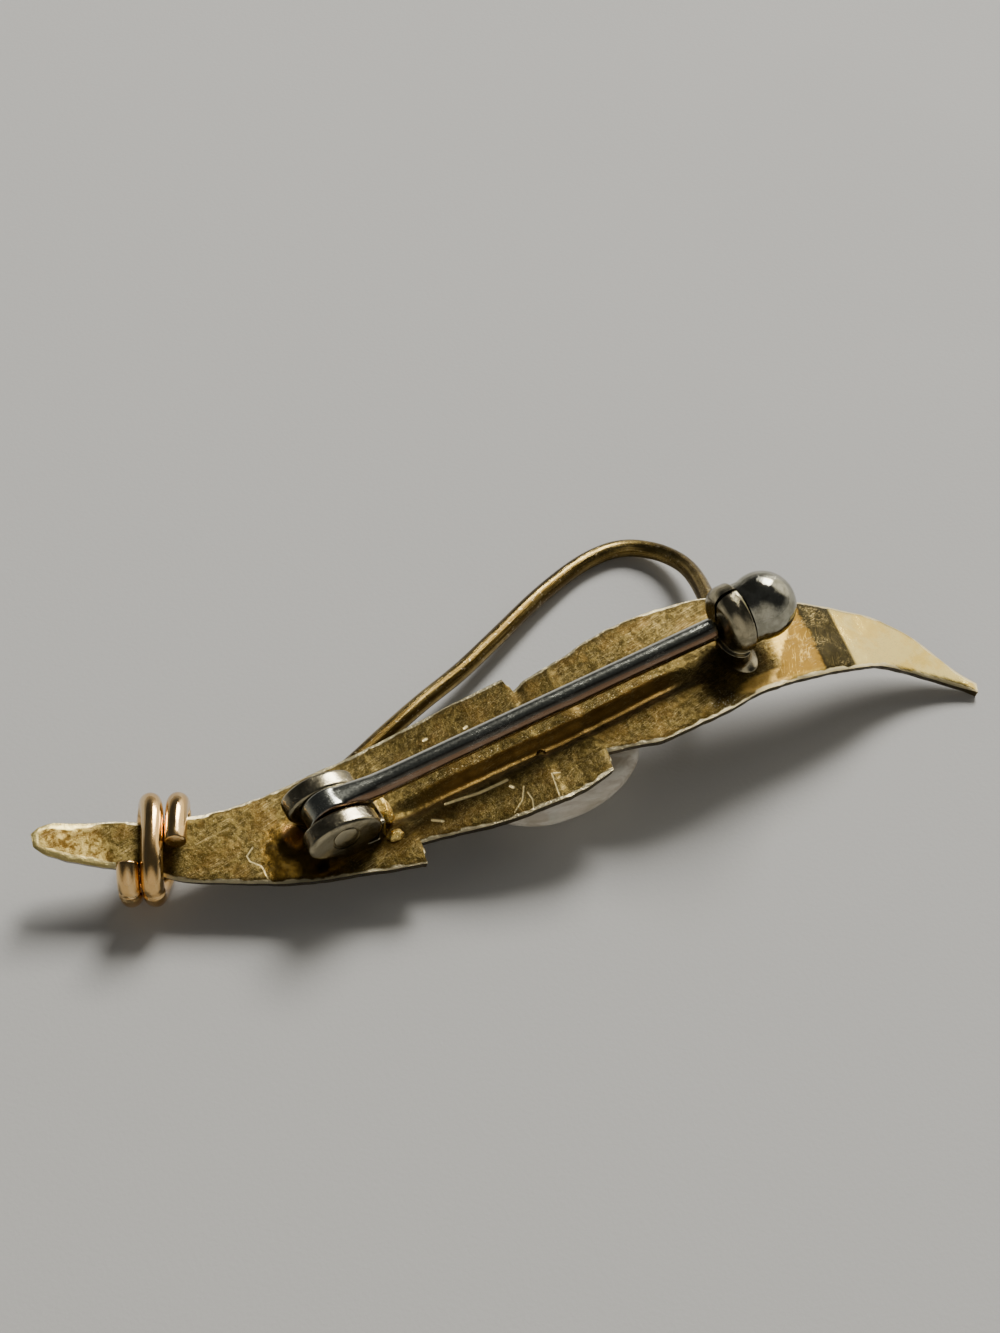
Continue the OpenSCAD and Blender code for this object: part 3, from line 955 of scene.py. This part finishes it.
def make_stroke():
    """A short straight stroke in plan, from one point to another."""
    tree, at, start, end, half, soft = shared("stroke", At=None, From=None, To=None, Half=0.05, Soft=0.05)
    reach, way = tree.plan(start, at), tree.plan(start, end)
    share = tree.math("DIVIDE", tree.vector("DOT_PRODUCT", reach, way), tree.vector("DOT_PRODUCT", way, way))
    share = tree.math("MINIMUM", tree.most(share, 0.0), 1.0)
    foot = tree.vector("MULTIPLY", way, tree.point(share, share, share))
    return tree.gives(Mask=tree.fade(tree.vector("LENGTH", tree.vector("SUBTRACT", reach, foot)), half, soft))


def make_patch():
    """An oval patch in plan with a ragged border."""
    tree, at, middle, reach, ragged, soft = shared("patch", At=None, Middle=None, Reach=None, Ragged=0.4,
                                                   Soft=0.3)
    away = tree.vector("LENGTH", tree.scaled(tree.plan(middle, at), reach))
    return tree.gives(Mask=tree.fade(tree.plus(away, tree.sway(ragged, at, 2.2, 4.0, 0.6)), 1.0, soft))


def make_drawn_lines():
    """Lines that a draw plate leaves along a wire."""
    tree, along, angle, fineness = shared("drawn lines", Along=0.0, Angle=0.0, Fineness=3.0)
    ring = [tree.times(tree.math(kind, angle), fineness) for kind in ("COSINE", "SINE")]
    at = tree.point(tree.times(along, 0.12), *ring)
    return tree.gives(Lines=tree.step(tree.noise(at, 0.8, 2.0, 0.5), 0.38, 0.62),
                      Fine=tree.noise(at, 3.5, 2.0, 0.6))


GRAIN = make_grain()
HAIRLINES = make_hairlines()
STROKE = make_stroke()
PATCH = make_patch()
DRAWN = make_drawn_lines()


class Surface(Bench):
    """The bench of a new material, with its shader and the place on the surface in millimetres."""

    def __init__(self, name, metallic=1.0, **plain):
        self.material = bpy.data.materials.new(name)
        self.material.use_nodes = True
        super().__init__(self.material.node_tree)
        self.shader = self.tree.nodes["Principled BSDF"].inputs
        self.shader["Metallic"].default_value = metallic
        for key, value in plain.items():
            self.shader[key.replace("_", " ")].default_value = value
        self.at = self.vector("SCALE", self.given("Object"))
        self.at.node.inputs["Scale"].default_value = 1 / MM

    def map(self, name):
        """The two values that a piece's own map gives."""
        return self.parts(self.node("UVMap", uv_map=name).outputs[0])[:2]

    def grain(self, size):
        return self.use(GRAIN, At=self.at, Size=size)

    def hairs(self, angle, length, width, share):
        """Hairlines along a direction in plan."""
        return self.use(HAIRLINES, At=self.turned(self.at, angle), Length=length, Width=width, Share=share)[0]

    def patch(self, middle, reach, ragged, soft):
        return self.use(PATCH, At=self.at, Middle=(*middle, 0), Reach=(*reach, 1), Ragged=ragged,
                        Soft=soft)[0]

    def strokes(self, rows, half, soft):
        """Hair marks and scratches, each a run of points in plan."""
        mask = 0.0
        for run in rows:
            for first, last in zip(run, run[1:]):
                one = self.use(STROKE, At=self.at, From=(*first, 0), To=(*last, 0), Half=half, Soft=soft)[0]
                mask = self.most(one, mask)
        return mask

    def done(self, *layers):
        """Feeds the shader, with a relief of heights that each have a depth in millimetres."""
        normal = None
        for height, depth in layers:
            node = self.node("Bump", {"Height": height, "Distance": depth * MM})
            if normal:
                self.feed(node.inputs["Normal"], normal)
            normal = node.outputs[0]
        for key, value in (("Base Color", self.colour), ("Roughness", self.rough), ("Normal", normal)):
            self.feed(self.shader[key], value)
        return self.material


# Marks on the leaf's back, in plan.
SCRATCHES = [
    [(-14.72, -2.49), (-15.2, -2.84), (-15.19, -3.19), (-14.79, -3.74), (-14.82, -4.54)],
    [(-2.42, -7.24), (-1.75, -6.82), (-1.31, -6.1)],
    [(-1.31, -6.54), (-1.33, -7.11), (-1.52, -7.57)],
    [(0.61, -6.36), (0.23, -6.21), (0.07, -6.92), (-0.08, -7.63)],
]
BRIGHT_MARKS = [
    [(-5.09, -4.84), (-3.4, -5.2), (-1.85, -5.27)],
    [(-1.85, -5.7), (-1.77, -5.85)],
    [(-6.09, -5.37), (-5.7, -5.71)],
    [(-2.12, -1.14), (-2.0, -1.1)],
    [(-4.25, -0.68), (-4.1, -0.66)],
]


def leaf_finish():
    """Olive gold sheet, mottled and tarnished, with bright rims, a polished end and scratches; the rims and
    crease also carry painted highlights, and there is painted shade by the hinge and painted reflections in
    places.
    """
    tree = Surface("leaf gold")
    x, y = tree.parts(tree.at)[:2]
    edge, groove = tree.map("rim_and_groove")
    up = tree.parts(tree.given("Normal"))[2]
    on_back = tree.step(up, 0.35, 0.6)
    broad = tree.grain(1.5)[0]
    small, fine, glints = tree.grain(0.27)

    # Tarnish and grain of the whole sheet.
    tree.colour, tree.rough = (0.048, 0.033, 0.008), 0.52
    tree.paint((0.135, 0.096, 0.027), small, 0.85)
    tree.paint((0.12, 0.07, 0.016), tree.step(broad, 0.35, 1.0), 0.55)
    tree.paint((0.55, 0.44, 0.19), glints, 0.42)
    tree.hone(small, 0.38)
    relief = tree.plus(tree.times(small, 0.6), tree.times(fine, 0.5))

    # The stem's end, bright at its rim and spotted brown in its middle.
    end = tree.times(tree.step(x, -20.9, -21.9), on_back)
    spots = tree.step(tree.plus(tree.times(small, 0.4), tree.times(broad, 0.6)), 0.15, 0.75)
    tree.paint(tree.blend(spots, (0.13, 0.07, 0.014), (0.52, 0.38, 0.11)), end, 0.85)

    # The groove: a smooth brown flank, a golden crease line that is polish and painted highlight, and a
    # sparkling line above it.
    run = tree.times(tree.step(x, -6.5, -3.5), tree.step(x, 8.8, 7.6), on_back)
    wander = tree.plus(groove, tree.sway(0.25, tree.at, 0.5))
    flank = tree.times(tree.step(wander, 0.02, 0.16), tree.step(wander, 0.86, 0.66), run)
    tree.paint(tree.blend(broad, (0.15, 0.075, 0.012), (0.27, 0.145, 0.03)), flank, 0.88)
    tree.hone(flank, 0.36)
    # The crease line: polished gold, brightened as a painted highlight.
    tree.paint((0.52, 0.33, 0.09), tree.step(tree.off(wander, -0.03), 0.14, 0.03), run, 0.75)
    tree.paint((0.72, 0.6, 0.34), tree.step(tree.off(wander, 1.0), 0.32, 0.1), run, glints, 0.8)

    # A smoother, browner patch painted as shade where the hinge's shadow falls, a warm orange spot painted as
    # a reflection, and two patches by the catch's foot, the golden one a painted reflection of the foot.
    # Painted shade: a brown tint and smoother sheet where the hinge's shadow falls.
    hinge_shade = tree.times(tree.patch((-12.9, -4.5), (1.55, 2.3), 0.7, 0.4), on_back)
    tree.paint(tree.blend(small, (0.13, 0.068, 0.01), (0.24, 0.14, 0.026)), hinge_shade, 0.8)
    tree.hone(hinge_shade, 0.25)
    # Painted reflection: a warm orange spot on the sheet left of the ears.
    tree.paint((0.6, 0.32, 0.1), tree.patch((-12.65, -2.85), (0.42, 0.62), 0.5, 0.5), 0.9)
    # Painted reflection of the catch's foot: a golden patch on the sheet beside it.
    tree.paint((0.72, 0.47, 0.13), tree.patch((13.2, -6.6), (1.7, 0.45), 0.5, 0.5), on_back, 0.8)
    tree.paint((0.62, 0.62, 0.52), tree.patch((9.9, -6.7), (0.6, 0.5), 0.8, 0.6), glints)

    # The polished end with its rubbed patch, and a dark band across it that is a painted reflection of the
    # dark room.
    slant = tree.minus(x, tree.times(tree.plus(y, 5.0), 0.19))
    ragged = tree.plus(slant, tree.sway(0.9, tree.at, 1.6, 4.0, 0.65))
    polished = tree.times(tree.step(ragged, 13.6, 14.6), on_back)
    far_end = tree.step(slant, 17.4, 18.6)
    tip = tree.blend(tree.step(broad, 0.2, 0.9), (0.86, 0.62, 0.165), (0.9, 0.72, 0.26))
    tree.paint(tree.blend(far_end, (0.27, 0.178, 0.036), tip), polished, 0.94)
    tree.hone(polished, tree.step(far_end, 0.0, 1.0, 0.36, 0.2))
    corner = tree.minus(ragged, tree.times(tree.plus(y, 5.6), 0.62))
    rubbed = tree.times(tree.step(corner, 14.05, 14.3), tree.step(y, -6.95, -6.6),
                        tree.step(slant, 16.8, 16.5), on_back)
    scored = tree.hairs(62, 1.6, 0.22, 1.0)
    tree.paint(tree.blend(scored, (0.12, 0.064, 0.008), (0.315, 0.205, 0.044)), rubbed, 0.9)
    tree.hone(rubbed, 0.5)
    # Painted reflection: the dark band across the polished end.
    dark = tree.blend(tree.times(scored, 0.6), (0.01, 0.008, 0.002), (0.085, 0.062, 0.02))
    tree.paint(dark, tree.step(ragged, 16.3, 16.6), tree.step(slant, 18.45, 18.2), on_back, 0.97)

    # Scratches and hair marks, and fine wiping lines over all.
    marks = tree.most(tree.times(tree.strokes(SCRATCHES, 0.015, 0.05), on_back, 0.34),
                      tree.times(tree.strokes(BRIGHT_MARKS, 0.05, 0.07), on_back))
    tree.paint((1.0, 0.82, 0.4), marks)
    tree.paint((0.46, 0.35, 0.15), tree.hairs(12, 3.2, 0.13, 0.35))

    # Rims rubbed bright, wider in places, their colour raised further as a painted highlight of the edge, and
    # the cut edge of the sheet.
    reach = tree.step(tree.noise(tree.at, 0.9, 3.0), 0.35, 0.65, 0.01, 0.16)
    rim = tree.fade(edge, tree.plus(reach, tree.times(end, 0.24)), 0.1)
    # Worn rims, brightened further as a painted highlight.
    tree.paint(tree.blend(end, (1.0, 0.86, 0.5), (1.0, 0.8, 0.3)), rim, on_back, 0.9)
    side = tree.minus(1.0, tree.step(tree.math("ABSOLUTE", up), 0.2, 0.5))
    cut = tree.blend(fine, (0.1, 0.07, 0.028), (0.36, 0.28, 0.13))
    tree.paint(cut, side, tree.step(x, 4.0, 9.0, 0.35, 0.9))
    tree.hone(rim, 0.3)

    # The fine relief is calmed where the sheet is smooth.
    smooth = tree.most(tree.most(flank, hinge_shade), tree.times(polished, 0.86))
    calm = tree.minus(1.0, tree.times(smooth, 0.82))
    return tree.done((tree.times(relief, calm), 0.02), (tree.noise(tree.at, 0.55, 2.0), 0.09),
                     (tree.minus(0.0, marks), 0.02))


def wire_finish(name, body, worn, dull, rough, radius, depth):
    """Drawn wire: long lines of the draw plate, dark tarnish in them and worn highlights."""
    tree = Surface(name)
    along, around = tree.map("along_and_around")
    lines, fine = tree.use(DRAWN, Along=along, Angle=tree.math("DIVIDE", around, radius), Fineness=2.2)
    broad, grain, specks = tree.grain(0.8)
    tree.colour = worn
    tree.paint(body, lines, 0.8)
    tree.paint(worn, broad, dull)
    tree.paint((0.98, 0.84, 0.58), specks, 0.3)
    uneven = tree.plus(tree.times(lines, 0.5), tree.times(broad, 0.5))
    tree.rough = tree.step(uneven, 0.0, 1.0, rough + 0.12, rough)
    return tree.done((fine, depth), (grain, depth * 0.5))


def nacre_finish():
    """Pearl: cream and grey streaks, a soft sheen and fine growth lines."""
    tree = Surface("nacre", 0.0, Coat_Roughness=0.12, IOR=1.55)
    streaks = tree.noise(tree.scaled(tree.turned(tree.at, -8), (3.4, 0.55, 0.7)), 1.0, 4.0, 0.6, 0.6)
    clouds = tree.noise(tree.at, 0.55, 3.0)
    tree.colour = (0.56, 0.49, 0.37)
    tree.paint((0.95, 0.9, 0.77), tree.step(streaks, 0.36, 0.64))
    tree.paint((0.92, 0.83, 0.7), tree.step(clouds, 0.45, 0.7, 0.0, 0.5))
    tree.paint((0.76, 0.78, 0.7), tree.step(tree.noise(tree.at, 0.9, 2.0), 0.55, 0.75, 0.0, 0.4))
    tree.rough = tree.step(streaks, 0.3, 0.7, 0.36, 0.22)
    tree.feed(tree.shader["Coat Weight"], tree.step(clouds, 0.3, 0.7, 0.35, 0.7))
    return tree.done((streaks, 0.03), (tree.noise(tree.at, 5.0, 2.0), 0.008))


# Painted reflections in bands along the stem, set by which way its surface faces, from its far side to its
# near side: where each begins and is full, and its colour.
STEM_PAINTED_REFLECTIONS = [
    (-0.95, -0.9, (0.74, 0.73, 0.64)),
    (-0.34, -0.2, (0.34, 0.345, 0.29)),
    (0.44, 0.58, (0.13, 0.118, 0.095)),
    (0.76, 0.84, (0.235, 0.145, 0.088)),
]


def metal_finish(name, pale, dark, rough, angle, scratch, dent, long=6.0, painted_stem_reflections=False):
    """White metal: wiping lines, dents and grey tarnish, and on the stem, bands of painted reflection and a
    painted highlight line along it, set by which way the surface faces.
    """
    tree = Surface(name)
    broad, grain, specks = tree.grain(0.9)
    lines = tree.hairs(angle, long, 0.05, scratch)
    cross = tree.hairs(angle + 70, long * 0.4, 0.05, scratch * 0.5)
    tree.colour = pale
    tree.paint(dark, tree.step(broad, 0.25, 1.0, 0.0, 0.75))
    if painted_stem_reflections:
        across, up = tree.parts(tree.given("Normal"))[1:]
        wave = tree.sway(0.22, tree.scaled(tree.at, (5, 0.4, 0.4)), 1.0, 3.0)
        across = tree.plus(tree.times(across, -1.0), wave)
        # Painted reflections: pale, grey, dark and brown bands, set by which way the surface faces.
        for first, last, tone in STEM_PAINTED_REFLECTIONS:
            tree.paint(tone, tree.step(across, first, last))
        # A pale tan line where the surface turns a little downwards: a painted highlight.
        tree.paint((0.7, 0.6, 0.46), tree.step(up, 0.06, -0.04), tree.step(up, -0.3, -0.2))
    tree.paint((0.8, 0.78, 0.7), tree.most(lines, cross), 0.5)
    tree.paint((0.17, 0.15, 0.11), specks, 0.35)
    tree.rough = tree.plus(tree.step(grain, 0.3, 0.7, rough, rough + 0.07), tree.times(lines, 0.12))
    return tree.done((tree.noise(tree.at, 0.85, 2.0), dent), (tree.minus(grain, lines), dent * 0.15))


def solder_finish():
    """Pale yellow solder, bright where it flowed and grey-brown in its pits."""
    tree = Surface("solder")
    broad, grain, specks = tree.grain(0.5)
    tree.colour = (1.0, 0.74, 0.24)
    tree.paint((0.84, 0.54, 0.12), tree.step(broad, 0.3, 0.9))
    tree.paint((0.25, 0.17, 0.08), specks, 0.6)
    tree.rough = tree.step(grain, 0.3, 0.7, 0.24, 0.36)
    return tree.done((broad, 0.06), (grain, 0.01))


# Pale walls of the room: azimuth, elevation, cosines at the edge and at full strength, colour.
GLOW_ROWS = [
    (108, 22, 0.84, 0.94, (1.45, 1.38, 1.2)),
    (-25, 12, 0.6, 0.95, (0.6, 0.575, 0.53)),
]


def make_world():
    """A dim room with a pale glow round its horizon, brightest on the window's side."""
    world = bpy.data.worlds.new("studio")
    world.use_nodes = True
    tree = Bench(world.node_tree)
    heading = tree.given("Generated")
    height = tree.math("ABSOLUTE", tree.parts(heading)[2])
    tree.colour = (0.045, 0.047, 0.05)
    tree.paint((0.34, 0.335, 0.32), tree.step(height, 0.1, 0.4, 1.0, 0.0))
    for azimuth, elevation, edge, full, glow in GLOW_ROWS:
        facing = tree.vector("DOT_PRODUCT", heading, tuple(direction(azimuth, elevation)))
        tree.paint(glow, tree.step(facing, edge, full))
    tree.feed(tree.tree.nodes["Background"].inputs["Color"], tree.colour)
    bpy.context.scene.world = world


def floor_finish():
    """Plain pale floor with the faintest unevenness."""
    tree = Surface("pale floor", 0.0)
    clouds = tree.noise(tree.at, 0.05, 3.0)
    tree.colour = tree.blend(clouds, (0.55, 0.545, 0.525), (0.59, 0.585, 0.565))
    tree.rough = tree.step(clouds, 0.3, 0.7, 0.75, 0.85)
    return tree.done((tree.noise(tree.at, 4.0, 3.0), 0.01))


add_camera()

gold = leaf_finish()
wire_gold = wire_finish("wire gold", (0.5, 0.365, 0.125), (0.08, 0.05, 0.012), dull=0.45, rough=0.2,
                        radius=TENDRIL_D / 2, depth=0.02)
rose = wire_finish("rose gold", (0.94, 0.69, 0.36), (0.76, 0.48, 0.19), dull=0.2, rough=0.08,
                   radius=COIL_D / 2, depth=0.006)
nacre = nacre_finish()
silver = metal_finish("white metal", (0.37, 0.325, 0.21), (0.14, 0.12, 0.07), rough=0.16, angle=0,
                      scratch=0.4, dent=0.024)
stem_metal_painted_reflections = metal_finish("pin metal with painted reflections", (0.4, 0.395, 0.34), (0.22, 0.21, 0.165), rough=0.17, angle=0,
                          scratch=0.5, dent=0.008, long=14.0, painted_stem_reflections=True)
bright = metal_finish("polished white metal", (0.41, 0.395, 0.31), (0.22, 0.21, 0.155), rough=0.08, angle=20,
                      scratch=0.35, dent=0.022)
solder = solder_finish()

finish_piece(model_leaf(), "leaf_gold", gold, "leaf")
finish_piece(model_pearl(), "pearl", nacre, "pearl")
finish_piece(model_wire("tendril_wire", smooth_route(TENDRIL_ROWS, 8), TENDRIL_D / 2, 24),
             "tendril_gold", wire_gold, "tendril")
finish_piece(model_wire("binding_wire", coil_route(), COIL_D / 2, 28), "rose_gold", rose, "binding_coil")
finish_piece(model_hinge(), "white_metal", silver, "hinge_joint")
finish_piece(model_rivet(), "white_metal", silver, "hinge_rivet")
finish_piece(model_catch_ring(), "white_metal", silver, "catch_ring", angle=50)
finish_piece(model_pin(), "white_metal", stem_metal_painted_reflections, "pin_stem", body="pin")
finish_piece(model_lock(), "polished_white_metal", bright, "catch_lock", body="lock")
for bead_name, middle, size, seed in SOLDER_ROWS:
    finish_piece(model_bead(bead_name, middle, size, seed), "leaf_gold", solder, angle=60)

bpy.ops.mesh.primitive_plane_add(size=1.2)
floor = named("floor")
floor.data.materials.append(floor_finish())

make_world()
add_lamp("window", 133, 43, distance=1.0, width=0.32, height=0.44, power=12, colour=(1.0, 0.98, 0.94))
